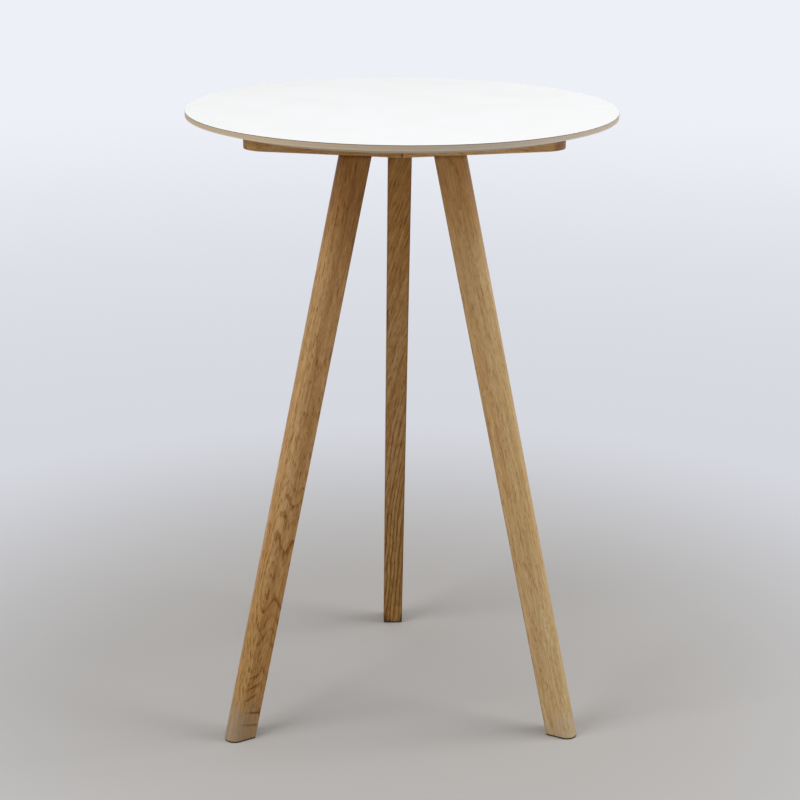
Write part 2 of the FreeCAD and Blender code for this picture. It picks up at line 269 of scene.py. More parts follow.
def grain(ways, fine_ways, board):
    """Shares of spring line and pore at a place, and its share of flame. A spring line starts each year, is
    stronger in some years, and breaks into dashes unless the board's lines are whole. Pores crowd in it."""
    years, flame = rings(ways, board)
    season = years.math("FRACT", years)
    year = years.math("FLOOR", years)
    luck = year.node("ShaderNodeTexWhiteNoise", {"noise_dimensions": "1D"}, {"W": year})
    gaps = cloud(ways, fine=0.14, slow=0.035)
    dashes = cloud(fine_ways, fine=0.6, slow=0.08, roughness=0.65)
    line = 1 - ease(season, 0.0, board["spring"]) + ease(season, 0.93, 1.0)
    breaks = ease(gaps, 0.38, 0.56) * (0.4 + 0.6 * ease(dashes, 0.4, 0.6))
    broken = board["whole"] + (1 - board["whole"]) * breaks
    spring = line * (0.3 + 0.7 * luck) * broken
    pores = ease(dashes, 0.5, 0.64) * (0.4 + 0.6 * line)
    return spring, pores, flame


# %% [markdown]
# A table is used for years, so fresh grain isn't enough. Shoes and mops rub the lacquer off near the floor,
# and each stick has its own knots and scratches. Painted shade darkens the legs' inner edges and their tops
# under the board, and dirt and painted shade darken the joints between the arms. The outer side is paler,
# partly bleached by the sun and partly painted light.

# %% Wear, age, painted light and painted shade
# Brown for painted shade along the legs' inner edges, and for dirt and painted shade in the arms' mitres.
DIRT_AND_SHADE_BROWN = paint(104, 62, 14)
STAIN = paint(72, 40, 8)
WHITE = (1.0, 1.0, 1.0, 1.0)
DIRT_AND_SHADE_REACH_MM = (0.8, 2.6)
OUTER_SIDE_MM = (20.0, 44.0)
WORN_FROM_INNER_MM = (2.0, 30.0)
WORN_RAGGED_MM = 110
MARK_WANDER_MM = 5
MARK_FRAY = 1.2


def wear(stick, board):
    """Two shares: grey where the lacquer is rubbed off near the floor, in patches, and dark in the board's
    marks, which are pin knots, knocks and scratches. A mark is (middle, reach, rise, share): an egg-shaped
    spot in the stick's directions, which climbs by its rise on the way through."""
    level, through, height = stick
    patches = cloud(stick, fine=0.07, slow=0.05, detail=3.0, roughness=0.6)
    fray = cloud(stick, fine=0.3, slow=0.3, roughness=0.6)
    reached = 0.7 + 0.3 * ease(through, *WORN_FROM_INNER_MM)
    low = 1 - ease(height + WORN_RAGGED_MM * (patches - 0.5), 0.1 * board["worn"], board["worn"])
    grey = low * reached * (0.65 + 0.55 * ease(fray, 0.38, 0.64)) * board["grey"]
    lift = height + MARK_WANDER_MM * (patches - 0.5)
    stain = 0.0
    for middle, reach, rise, share in board["marks"]:
        where = vector(level, through, lift - rise * (through - middle[1]))
        here = 1 - ease(spot(where, middle, reach) + MARK_FRAY * (fray - 0.5), 0.3, 1.15)
        stain = here.math("MAXIMUM", here * share, stain)
    return grey, stain


def used(wood, stick, board, edge):
    """The colour of wood in use, and its share of grey wear. The board's tone goes over it all, and its foot
    and top tones over its ends. On the legs the top tone is painted shade under the board, and on the arms it
    is end grain, with painted shade on the right arm's tip. Then come dirt and painted shade along the edges,
    grey wear, a paler outer side that is partly bleached wood and partly painted light, and the marks."""
    level, through, height = stick
    # The top tone darkens and warms each leg towards the board: painted shade. On the arms it is the darker
    # end grain of the tips.
    ends = blend(ease(height, *board["foot_fade"]), board["foot"], WHITE)
    ends = blend(ease(height, *board["top_fade"]), ends, board["top"])
    wood = blend(1.0, blend(1.0, wood, board["tone"], "MULTIPLY"), ends, "MULTIPLY")
    # Painted shade along the legs' inner edges, and dirt with painted shade in the arms' mitres.
    edge_dirt_and_shade = (1 - ease(edge(level, through, height), *DIRT_AND_SHADE_REACH_MM)) * board["edge_dirt_and_shade"]
    grey, stain = wear(stick, board)
    wood = blend(grey, blend(edge_dirt_and_shade, wood, DIRT_AND_SHADE_BROWN), board["bare"])
    # The outer round side is made paler: partly bleached wood and partly painted light. Near the board this
    # is left out as painted shade.
    bleach_and_painted_light = ease(through, *OUTER_SIDE_MM) * (1 - ease(height, *board["top_fade"]))
    wood = blend(bleach_and_painted_light, wood, board["bleached_and_lit"], "MULTIPLY")
    return blend(stain, wood, board["stain"]), grey


# %% Oak finish
OAK_PALE = paint(206, 174, 126)
OAK_WARM = paint(186, 146, 90)
OAK_DARK = paint(145, 94, 0)
OAK_PORE = paint(114, 67, 0)


def oak(name, axes, origin, board, edge):
    """Solid oak. axes are the stick's directions across, through and along it, and origin is where each
    counts from. The grain leans by the board's slant and bow, and its fibres widen by coarse. edge gives
    the distance in millimetres from the sharp edges or joints."""
    material, place = begin(name)
    stick = [along(place, axis) - start for axis, start in zip(axes, origin)]
    level, through, height = stick
    length = height + board["shift"]
    across = level - (board["slant"] + board["bow"] * height) * height
    ways = (across, through, length)
    fine_ways = [way / board["coarse"] for way in ways]
    spring, pores, flame = grain(ways, fine_ways, board)
    fibre = cloud(fine_ways, fine=0.4, slow=0.008, detail=3.0, roughness=0.65)
    streak = cloud(ways, fine=0.1, slow=0.003, detail=3.0, roughness=0.6)
    mottle = cloud(ways, fine=0.11, slow=0.04, detail=3.0, roughness=0.65)
    flecks = cloud(fine_ways, fine=0.34, slow=0.07, detail=3.0, roughness=0.7)
    wood = blend(ease(streak, 0.3, 0.72) * board["streak"], OAK_PALE, OAK_WARM)
    wood = blend(ease(fibre, 0.42, 0.66) * board["fibre"], wood, OAK_DARK)
    wood = blend(ease(mottle, 0.48, 0.75) * board["mottle"], wood, OAK_DARK)
    wood = blend(ease(flecks, 0.46, 0.66) * board["flecks"], wood, OAK_DARK)
    wood = blend(spring * (board["contrast"] + board["flame"] * flame), wood, OAK_DARK)
    wood = blend(pores * board["pores"], wood, OAK_PORE)
    wood, grey = used(wood, stick, board, edge)
    relief = 0.6 + 0.2 * (1 - spring) + 0.2 * fibre - 0.6 * pores
    surface(
        place,
        Base_Color=wood,
        Roughness=0.48 + 0.12 * spring + 0.12 * (fibre - 0.5) + 0.2 * grey,
        Normal=bump(relief, depth=0.00015),
        Specular_IOR_Level=0.35,
    )
    return material


# %% [markdown]
# ## Legs
#
# Each leg is one stick with a flat inner face, flat sides and a round outer side, and it tapers to the
# floor. It could be a box with a bevel, but its section changes with height and its top is cut to the
# slope of the arm. So a section is written as a closed line whose points are weights of three sizes, and
# the line is carried up the leg. The foot's edge is rounded over, where a plain cut would look sharp.

# %% Sizes that the legs follow
PLACES = {"right": 330.0, "rear": 90.0, "left": 210.0}
LEG_DEPTH = 0.048
FOOT_WIDTH = 0.035
LEG_TOP_INNER_RADIUS = 0.0562
FOOT_INSET = 0.0049
LEG_EDGE_ROUND = 0.0018
FOOT_ROUND = 0.001
ARM_DEPTH_AT_AXIS = 0.062
ARM_DEPTH_AT_TIP = 0.025

top_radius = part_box("top_laminate")[1].x
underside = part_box("arm_rear")[1].z
arm_width = 2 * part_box("arm_rear")[1].x
arm_slope = (ARM_DEPTH_AT_AXIS - ARM_DEPTH_AT_TIP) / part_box("arm_rear")[1].y
foot_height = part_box("leg_rear")[0].z
foot_inner_radius = top_radius - FOOT_INSET - LEG_DEPTH
leg_splay = (foot_inner_radius - LEG_TOP_INNER_RADIUS) / underside
leg_lean = math.atan(leg_splay)
foot_middle_radius = foot_inner_radius + LEG_DEPTH / 2
arm_over_foot = underside - ARM_DEPTH_AT_AXIS + arm_slope * foot_middle_radius
joint_height = arm_over_foot / (1 + arm_slope * leg_splay)
print("legs lean", round(math.degrees(leg_lean), 2), "degrees and meet the arms at", round(joint_height, 4))

# %% Section of a leg
FLAT_STEPS = 14
EDGE_STEPS = 7
ROUND_STEPS = 36


def crowded(count, pull=0.9):
    """Steps from 0 to 1 that crowd together at both ends, where a flat face runs into a curve."""
    steps = np.linspace(0, 1, count, endpoint=False)
    return steps - pull * np.sin(2 * np.pi * steps) / (2 * np.pi)


def leg_section():
    """Closed line, anticlockwise from above. Each point is (weights of edge round, depth and half width)
    for its distance out from the inner face, and (weights of edge round and half width) sideways."""
    flat = crowded(FLAT_STEPS)
    quarter = np.linspace(0, np.pi / 2, EDGE_STEPS, endpoint=False)
    half_turn = np.linspace(-np.pi / 2, np.pi / 2, ROUND_STEPS, endpoint=False)
    none = np.zeros_like
    one = np.ones_like
    inner = (none(flat), none(flat), none(flat), 2 * flat - 1, 1 - 2 * flat)
    first = (1 - np.cos(quarter), none(quarter), none(quarter), 1 - np.sin(quarter), -one(quarter))
    side = (1 - flat, flat, -flat, none(flat), -one(flat))
    outer = (none(half_turn), one(half_turn), np.cos(half_turn) - 1, none(half_turn), np.sin(half_turn))
    back = (flat, 1 - flat, flat - 1, none(flat), one(flat))
    last = (1 - np.sin(quarter), none(quarter), none(quarter), np.cos(quarter) - 1, one(quarter))
    return np.concatenate([inner, first, side, outer, back, last], axis=1)


section = leg_section()
print("points round a leg:", section.shape[1])


# %% A skin over closed lines
def skin(name, lines):
    """Mesh over a stack of closed lines, lines[row, point, xyz], from bottom to top. Neighbouring lines are
    joined by four-sided faces and each end is closed by a fan to its middle."""
    rows, count, _ = lines.shape
    corners = np.arange(rows * count).reshape(rows, count)
    ahead = np.roll(corners, -1, axis=1)
    sides = np.stack([corners[:-1], ahead[:-1], ahead[1:], corners[1:]], axis=-1).reshape(-1, 4)
    middles = np.stack([lines[0].mean(axis=0), lines[-1].mean(axis=0)])
    low = np.full(count, rows * count)
    bottom = np.stack([low, ahead[0], corners[0]], axis=-1)
    top = np.stack([low + 1, corners[-1], ahead[-1]], axis=-1)
    points = np.concatenate([lines.reshape(-1, 3), middles])
    mesh = bpy.data.meshes.new(name)
    mesh.from_pydata(points.tolist(), [], sides.tolist() + bottom.tolist() + top.tolist())
    mesh.shade_smooth()
    piece = bpy.data.objects.new(name, mesh)
    bpy.context.scene.collection.objects.link(piece)
    return piece


def turned(points, degrees):
    """Points turned about the table's axis."""
    turn = math.radians(degrees)
    spin = np.array([[math.cos(turn), math.sin(turn), 0], [-math.sin(turn), math.cos(turn), 0], [0, 0, 1]])
    return points @ spin


# %% The legs' surface
END_SHARES = np.array([0.35, 0.7, 0.95])[:, None, None]
FOOT_ROUND_STEPS = 6


def level_line(height, inset):
    """The leg's section at a height, drawn in by an inset: the inner face follows the splay and the
    width grows from the foot to the joint. Height and inset may be whole columns of values."""
    half = (FOOT_WIDTH + (arm_width - FOOT_WIDTH) * height / joint_height) / 2 - inset
    inner = foot_inner_radius - leg_splay * height + inset
    out = inner + section[0] * LEG_EDGE_ROUND + section[1] * (LEG_DEPTH - 2 * inset) + section[2] * half
    sideways = section[3] * LEG_EDGE_ROUND + section[4] * half
    return np.stack(np.broadcast_arrays(out, sideways, height), axis=-1)


def leg_rows():
    """All lines of one leg along +X: drawn in under the foot, rounded at its edge, then straight up to the
    arm, close together near the foot for the knocks. A point climbs at a steady rate, so the height where it
    meets the sloping arm has one solution."""
    edge = np.linspace(0, np.pi / 2, FOOT_ROUND_STEPS)[:, None]
    rounding = level_line(foot_height + FOOT_ROUND * (1 - np.cos(edge)), FOOT_ROUND * (1 - np.sin(edge)))
    foot = level_line(np.full((1, 1), foot_height), FOOT_ROUND)
    middle = foot.mean(axis=1, keepdims=True)
    under = middle + (foot - middle) * END_SHARES
    low = rounding[-1]
    high = level_line(np.full((1, 1), underside), 0.0)[0]
    climb = (high - low) / (high - low)[:, 2:]
    arm_here = underside - ARM_DEPTH_AT_AXIS + arm_slope * low[:, 0]
    rise = (arm_here - low[:, 2]) / (1 - arm_slope * climb[:, 0])
    near_foot = np.linspace(0.0015, 0.07, 110)
    above = np.linspace(0.075, 1, 130)
    shares = np.concatenate([near_foot, above])
    shaft = low + climb * rise[:, None] * shares[:, None, None]
    crown = shaft[-1].mean(axis=0)
    over = crown + (shaft[-1] - crown) * END_SHARES[::-1]
    return np.concatenate([under, rounding, shaft, over])


one_leg = leg_rows()
print("lines up a leg:", one_leg.shape[0])

# %% [markdown]
# The left foot has been knocked twice. A knock could be a dark stripe in the finish, but it would lie flat
# when light grazes it, so each one is also a shallow groove in the surface.

# %% Knocks
KNOCKS = {"left": [(46.5, 27.0, 0.9, 0.7), (24.0, 38.0, 1.0, 0.35)]}
KNOCK_SIDE_START = 0.75
KNOCK_SIDE_FADE = 0.2


def knocked(rows, knocks):
    """Dents across the flat side that looks to the front. A dent is (height up the leg, how far it reaches
    from the inner edge, half width, depth) in millimetres: a groove like a bell curve, shallower as it
    goes in. It fades out over the edge of the flat side."""
    dented = rows.copy()
    out = MM_PER_METRE * (rows[..., 0] - foot_inner_radius)
    up = MM_PER_METRE * rows[..., 2]
    through = out * math.cos(leg_lean) + up * math.sin(leg_lean)
    height = up * math.cos(leg_lean) - out * math.sin(leg_lean)
    on_side = np.clip((2 * rows[..., 1] / FOOT_WIDTH - KNOCK_SIDE_START) / KNOCK_SIDE_FADE, 0, 1)
    for at, reach, width, depth in knocks:
        groove = depth * np.exp(-(((height - at) / width) ** 2)) * np.clip(1 - through / reach, 0, 1)
        dented[..., 1] -= groove * on_side / MM_PER_METRE
    return dented


print("knocks in the legs:", {name: len(knocks) for name, knocks in KNOCKS.items()})

# %% [markdown]
# Each leg came from its own board. The right one is pale, with fine lines that run nearly straight. The rear
# one is brown with a slanting grain. The left one was sawn near the outside of its tree, so it has flames,
# pin knots and dark strokes, and its foot is worn.
#
# A board is a list of words. pith and ring place the middle of its tree and the width of a year, in
# millimetres, and the words from drift to arch bend the rings. Then come shares: how strongly each kind of
# line or speck darkens the wood, and how strongly dirt and painted shade darken the edges. The last words
# colour it: tone all over, foot and top at its ends, where the darker top of a leg is painted shade under the
# board, a paler outer side that is partly bleached wood and partly painted light, bare where it is worn, and
# stain in its marks.

# %% Boards for the legs
PLAIN_BOARD = {
    "pith": (30.0, -90.0), "ring": 4.2, "spring": 0.35, "whole": 0.1, "coarse": 1.0,
    "drift": 20.0, "figure": 8.0, "ripple": 1.2, "slant": 0.0, "bow": 0.0, "shift": 900.0,
    "arch": 0.0, "arch_at": 0.0, "arch_length": 100.0, "flame": 0.0,
    "contrast": 0.5, "pores": 0.6, "streak": 1.0, "fibre": 0.36, "mottle": 0.24, "flecks": 0.3,
    "edge_dirt_and_shade": 0.0, "worn": 30.0, "grey": 0.0, "bare": paint(170, 156, 136), "marks": [], "stain": STAIN,
    "tone": WHITE, "foot": WHITE, "foot_fade": (150.0, 450.0), "top": WHITE, "top_fade": (600.0, 950.0),
    "bleached_and_lit": WHITE,
}
RIGHT_BOARD = PLAIN_BOARD | {
    "pith": (62.0, 30.0), "ring": 3.2, "spring": 0.45, "drift": 10.0, "figure": 7.0, "slant": -0.02,
    "contrast": 0.45, "pores": 0.45, "streak": 0.5, "fibre": 0.35, "mottle": 0.18, "flecks": 0.25,
    "edge_dirt_and_shade": 0.5, "worn": 50.0, "grey": 0.45, "bare": paint(190, 172, 148), "top_fade": (800.0, 960.0),
    # The top tone is painted shade under the board.
    "tone": (1.15, 1.11, 1.06, 1.0), "foot": (1.02, 1.09, 1.18, 1.0), "top": (0.96, 0.83, 0.63, 1.0),
    # The outer side's tone is partly bleached wood and partly painted light.
    "bleached_and_lit": (1.08, 1.15, 1.22, 1.0),
}
REAR_BOARD = PLAIN_BOARD | {
    "pith": (-90.0, -25.0), "ring": 7.2, "spring": 0.45, "whole": 0.5, "coarse": 1.8,
    "drift": 30.0, "figure": 14.0, "ripple": 3.6, "slant": -0.02, "bow": -0.00018, "shift": 2300.0,
    "arch_at": 2380.0, "arch_length": 330.0, "flame": 2.2,
    "contrast": 0.55, "pores": 0.85, "fibre": 0.5, "mottle": 0.55, "flecks": 0.5, "edge_dirt_and_shade": 0.5,
    # The top tone is painted shade under the board.
    "tone": (0.92, 0.85, 0.77, 1.0), "foot": (0.9, 0.87, 0.65, 1.0), "top": (1.0, 0.89, 0.52, 1.0),
    "marks": [
        ((18.5, 0.0, 676.0), (4.5, 5.0, 20.0), 0.0, 0.7),
        ((18.0, 0.0, 2.0), (11.0, 10.0, 18.0), 0.0, 0.95),
        ((6.0, 0.0, 2.0), (4.0, 8.0, 8.0), 0.0, 0.8),
        ((-18.0, 0.0, 5.0), (8.0, 10.0, 20.0), 0.0, 0.95),
    ],
}
LEFT_BOARD = PLAIN_BOARD | {
    "pith": (-60.0, 14.0), "ring": 2.7, "spring": 0.5, "whole": 0.3, "coarse": 1.4,
    "drift": 8.0, "figure": 6.0, "ripple": 1.4, "shift": 400.0,
    "arch": 24.0, "arch_at": 700.0, "arch_length": 190.0, "flame": 1.2,
    "contrast": 0.35, "pores": 0.75, "streak": 0.8, "fibre": 0.35, "flecks": 0.38,
    "edge_dirt_and_shade": 0.45, "worn": 95.0, "grey": 0.75, "bare": paint(154, 133, 105), "stain": paint(98, 58, 0),
    # The top tone is painted shade under the board.
    "tone": (1.045, 0.9, 0.73, 1.0), "foot": (0.86, 0.81, 0.63, 1.0), "top": (0.73, 0.6, 0.34, 1.0),
    # The outer side's tone is partly bleached wood and partly painted light.
    "top_fade": (770.0, 960.0), "bleached_and_lit": (1.12, 1.24, 1.5, 1.0),
    "marks": [
        ((18.0, 14.0, 480.0), (8.0, 10.0, 170.0), 0.0, 0.15),
        ((18.0, 3.0, 46.5), (6.0, 27.0, 3.2), 0.0, 0.9),
        ((18.0, 12.0, 24.0), (6.0, 24.0, 3.0), 0.0, 0.5),
        ((18.0, 24.0, 75.0), (5.0, 14.0, 3.2), -0.64, 0.75),
        ((18.0, 24.0, 94.0), (5.0, 15.0, 3.4), -0.62, 0.75),
        ((18.0, 26.0, 112.0), (5.0, 12.0, 3.2), -0.43, 0.65),
        ((18.0, 26.0, 148.0), (5.0, 2.0, 13.0), 0.0, 0.5),
        ((18.0, 28.5, 187.0), (5.0, 7.0, 4.0), 1.7, 0.4),
        ((18.0, 33.0, 293.0), (5.0, 3.0, 5.0), 0.0, 0.5),
        ((18.5, 32.0, 338.0), (5.0, 4.0, 13.0), 0.0, 0.3),
        ((18.5, 28.5, 398.0), (5.0, 7.0, 3.5), 0.0, 0.5),
        ((18.5, 20.0, 409.0), (5.0, 2.5, 4.0), 0.0, 0.45),
        ((18.5, 7.0, 402.0), (5.0, 2.5, 5.0), 0.0, 0.45),
        ((18.5, 38.0, 422.0), (5.0, 2.5, 4.0), 0.0, 0.4),
        ((18.5, 25.0, 429.0), (5.0, 5.0, 4.0), 0.0, 0.4),
        ((18.5, 6.0, 447.0), (5.0, 7.0, 2.0), 0.0, 0.35),
        ((19.0, 18.6, 542.0), (5.0, 2.6, 3.2), 0.0, 0.5),
    ],
}
LEG_BOARDS = {"right": RIGHT_BOARD, "rear": REAR_BOARD, "left": LEFT_BOARD}
print("marks on the legs:", {name: len(board["marks"]) for name, board in LEG_BOARDS.items()})


# %% The three legs
def leg_edge(level, through, height):
    """Distance from a leg's two sharp inner edges: how far in from the nearer flat side or from the inner
    face, whichever is more. The half width grows with height as the leg's section does."""
    width = FOOT_WIDTH + (arm_width - FOOT_WIDTH) / (MM_PER_METRE * joint_height) * height
    half = MM_PER_METRE / 2 * width
    return half.math("MAXIMUM", half - level.math("ABSOLUTE", level), through)


for place_name, degrees in PLACES.items():
    line_points = turned(knocked(one_leg, KNOCKS.get(place_name, [])), degrees)
    leg = skin("oak_leg_" + place_name, line_points)
    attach(leg, "root")
    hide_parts("leg_" + place_name)
    turn = math.radians(degrees)
    out = np.array([math.cos(turn), math.sin(turn), 0])
    axes = [
        (-math.sin(turn), math.cos(turn), 0),
        out * math.cos(leg_lean) + np.array([0, 0, math.sin(leg_lean)]),
        np.array([0, 0, math.cos(leg_lean)]) - out * math.sin(leg_lean),
    ]
    origin = [MM_PER_METRE * np.dot(axis, out * foot_inner_radius) for axis in axes]
    leg.data.materials.append(oak("oak_leg_" + place_name, axes, origin, LEG_BOARDS[place_name], leg_edge))
    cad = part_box("leg_" + place_name)
    off = np.abs(np.r_[line_points.min(axis=(0, 1)) - cad[0], line_points.max(axis=(0, 1)) - cad[1]])
    print(leg.name, "differs from its frame box by", round(float(off.max()), 5))

# %% [markdown]
# ## Arms
#
# The arms keep their imported shape, with the screw pockets underneath. They were sawn from the same oak, and
# their grain runs out from the middle of the table. Their round tips show end grain, which soaks up more oil
# and looks darker. The right arm is made lighter as painted light, and its tip darker still as painted shade.
# Dirt and painted shade darken the mitres, where they meet.

# %% Arms
MITRE_ANGLE = math.pi / 3
arm_tip = MM_PER_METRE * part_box("arm_rear")[1].y
ARM_BOARD = PLAIN_BOARD | {
    "edge_dirt_and_shade": 0.7, "top": (0.72, 0.62, 0.48, 1.0), "top_fade": (arm_tip - 1.5, arm_tip - 0.3),
}
ARM_BOARDS = {
    "right": ARM_BOARD | {
        # The right arm's tone is lifted far above the other arms' as painted light, and its tip is darkened
        # over a longer reach by painted shade on top of the end grain.
        "pith": (20.0, 80.0), "shift": 500.0, "tone": (1.57, 1.6, 1.7, 1.0),
        "top": (0.6, 0.54, 0.57, 1.0), "top_fade": (arm_tip - 14.0, arm_tip - 5.0),
    },
    "rear": ARM_BOARD | {"pith": (-20.0, 90.0), "shift": 1500.0, "tone": (1.0, 0.92, 0.82, 1.0)},
    "left": ARM_BOARD | {"pith": (10.0, 70.0), "shift": 3100.0, "tone": (1.15, 1.05, 0.93, 1.0)},
}


def arm_edge(level, through, height):
    """Distance from an arm's two mitres, which are upright planes through the table's axis, 60 degrees to
    each side of the arm."""
    return height * math.sin(MITRE_ANGLE) - level.math("ABSOLUTE", level) * math.cos(MITRE_ANGLE)


def dress(node_name, finish):
    """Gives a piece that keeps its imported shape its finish."""
    nodes[node_name].material_slots[0].material = finish
    print(node_name, "has the finish", finish.name)


for place_name, degrees in PLACES.items():
    turn = math.radians(degrees)
    axes = [(-math.sin(turn), math.cos(turn), 0), (0, 0, -1), (math.cos(turn), math.sin(turn), 0)]
    origin = (0.0, -MM_PER_METRE * underside, 0.0)
    dress("arm_" + place_name, oak("oak_arm_" + place_name, axes, origin, ARM_BOARDS[place_name], arm_edge))

# %% [markdown]
# ## Plywood
#
# The board is glued up from thin veneers, laid crosswise in turn. Where a veneer's fibres run out at the edge
# it looks dark and dotted, and where they run along the edge it looks pale and streaky. So the tone of each
# layer follows the direction of the edge, and dark glue lines part the layers. The left side of the edge is
# tinted warm and the right side cool: painted light from the left and painted shade on the right.

# %% Plywood finish
VENEER_MM = 1.35
GLUE_WAVER_MM = 0.25
PLY_PALE = paint(224, 208, 182)
PLY_END = paint(184, 163, 134)
PLY_GLUE = paint(150, 128, 106)
# Painted light: a warm tint on the left of the edge, and a cool, shaded tint on the right.
PLY_LEFT_WARM_LIGHT = (0.95, 0.91, 0.85, 1.0)
PLY_RIGHT_COOL_SHADE = (1.03, 1.05, 1.15, 1.0)
PLY_LIGHT_TURN_MM = (-200.0, 200.0)


def plywood(name):
    """Layers by height: the whole number of veneers counts the layer, and its odd or even turns the
    fibres. The share of end grain is the square of how far the edge faces along the fibres."""
    material, place = begin(name)
    x, y, z = millimetres(place)
    waver = cloud((x, y, z), fine=0.02, slow=0.02, detail=1.0)
    stack = (MM_PER_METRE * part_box("top_core")[1].z - z + GLUE_WAVER_MM * (waver - 0.5)) / VENEER_MM
    layer = stack.math("FLOOR", stack)
    within = stack.math("FRACT", stack)
    odd = layer.math("FLOORED_MODULO", layer, 2.0)
    luck = layer.node("ShaderNodeTexWhiteNoise", {"noise_dimensions": "1D"}, {"W": layer + 7.0})
    facing_x = x * x / (x * x + y * y + 1.0)
    end_grain = odd * facing_x + (1 - odd) * (1 - facing_x)
    fibres = cloud((x, y, z), fine=0.9, slow=3.0, detail=3.0, roughness=0.6)
    streaks = cloud((x, y, z), fine=0.05, slow=4.0)
    tone = ease(end_grain, 0.2, 0.9) * 0.35 + 1.1 * (luck - 0.4) + 0.25 * (streaks - 0.5)
    glue = (1 - ease(within, 0.03, 0.12)) + ease(within, 0.93, 0.99)
    wood = blend(tone, PLY_PALE, PLY_END)
    wood = blend(ease(fibres, 0.5, 0.75) * 0.2, wood, PLY_END)
    wood = blend(glue * 0.35, wood, PLY_GLUE)
    # Painted light and shade: warm on the left of the edge, cool on the right.
    left_light_right_shade = blend(ease(x, *PLY_LIGHT_TURN_MM), PLY_LEFT_WARM_LIGHT, PLY_RIGHT_COOL_SHADE)
    surface(
        place,
        Base_Color=blend(1.0, wood, left_light_right_shade, "MULTIPLY"),
        Roughness=0.55 + 0.15 * end_grain,
        Normal=bump(0.6 * fibres + 0.4 * (1 - glue), depth=0.00015),
        Specular_IOR_Level=0.4,
    )
    return material


dress("top_core", plywood("plywood_edge"))

# %% [markdown]
# ## Laminate
#
# The white face is a sheet of printed paper and brown kraft paper pressed in resin. From above it is plain
# matt white with a very fine pebble. On its cut edge the brown core shows as a thin dark line.

# %% Laminate finish
WHITE_SKIN_MM = 0.15
LAMINATE_WHITE = paint(241, 241, 241)
LAMINATE_SHADE = paint(239, 239, 238)
BACKING_CREAM = paint(226, 223, 217)
BACKING_SHADE = paint(219, 215, 208)
KRAFT_CORE = paint(96, 74, 62)


def laminate(name, face, shade, decor_side):
    """Decor colour on the outer face and kraft brown through the cut edge. decor_side is the height of the
    face in metres and the way it looks, up or down."""
    material, place = begin(name)
    height, way = decor_side
    x, y, z = millimetres(place)
    below = (MM_PER_METRE * height - z) * way
    pebble = cloud((x, y, z), fine=1.6, slow=1.6)
    haze = cloud((x, y, z), fine=0.012, slow=0.012, detail=3.0)
    decor = blend(ease(haze, 0.35, 0.7), face, shade)
    surface(
        place,
        Base_Color=blend(ease(below, WHITE_SKIN_MM * 0.8, WHITE_SKIN_MM * 1.4), decor, KRAFT_CORE),
        Roughness=0.66 + 0.08 * haze + 0.06 * pebble,
        Normal=bump(pebble, depth=0.00003),
        Specular_IOR_Level=0.03,
    )
    return material


top_face = (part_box("top_laminate")[1].z, 1)
dress("top_laminate", laminate("white_laminate", LAMINATE_WHITE, LAMINATE_SHADE, top_face))
under_face = (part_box("top_backing")[0].z, -1)
dress("top_backing", laminate("backing_sheet", BACKING_CREAM, BACKING_SHADE, under_face))

# %% [markdown]
# ## Felt pads
#
# A thin felt pad is glued under each foot. A plain slab would have a hard rim, but cut felt has a soft one.
# So each pad is a stack of lines round the foot's outline, drawn in on a small arc at its top and bottom.

# %% Felt finish
FELT_DARK = paint(66, 55, 38)
FELT_LIGHT = paint(100, 86, 64)


def felt(name):
    """Pressed wool: fine tangled fibres, dark with paler hairs."""
    material, place = begin(name)
    x, y, z = millimetres(place)
    tangle = cloud((x, y, z), fine=2.4, slow=2.4, detail=4.0, roughness=0.7)
    lumps = cloud((x, y, z), fine=0.35, slow=0.35)
    surface(
        place,
        Base_Color=blend(ease(tangle, 0.42, 0.75) * (0.5 + lumps), FELT_DARK, FELT_LIGHT),
        Roughness=0.9 + 0.08 * tangle,
        Normal=bump(tangle, depth=0.0003),
        Specular_IOR_Level=0.2,
        Sheen_Weight=0.15,
    )
    return material


# %% The three pads
PAD_INSET = 0.0003
PAD_EDGE = 0.0009
PAD_EDGE_STEPS = 9


def pad_rows():
    """Lines of one pad along +X: out from the middle of its base, round a soft edge and back on top. The edge
    is two quarter circles with an upright stretch between them."""
    edge = np.linspace(-np.pi / 2, np.pi / 2, PAD_EDGE_STEPS)[:, None]
    flat_side = foot_height - 2 * PAD_EDGE
    height = foot_height / 2 + PAD_EDGE * np.sin(edge) + flat_side / 2 * np.sign(np.sin(edge))
    inset = PAD_INSET + PAD_EDGE * (1 - np.cos(edge))
    side = level_line(foot_height, inset)
    side[:, :, 2] = height
    base = side[0].mean(axis=0) + (side[0] - side[0].mean(axis=0)) * END_SHARES
    lid = side[-1].mean(axis=0) + (side[-1] - side[-1].mean(axis=0)) * END_SHARES[::-1]
    return np.concatenate([base, side, lid])


felt_finish = felt("pad_felt")
one_pad = pad_rows()
for place_name, degrees in PLACES.items():
    pad = skin("felt_pad_" + place_name, turned(one_pad, degrees))
    pad.data.materials.append(felt_finish)
    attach(pad, "root")
    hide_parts("foot_pad_" + place_name)
    print(pad.name, "has", len(pad.data.polygons), "faces")

# %% [markdown]
# ## Fasteners
#
# Bolts, washers, inserts and the steel star are zinc plated: a thin bright coat with a faint mottle.
# Dowels and tongues are plain beech, with short flecks along the grain.

# %% Zinc and beech
ZINC_BRIGHT = paint(206, 208, 210)
ZINC_DULL = paint(172, 175, 180)
BEECH_PALE = paint(222, 190, 150)
BEECH_FLECK = paint(176, 134, 96)


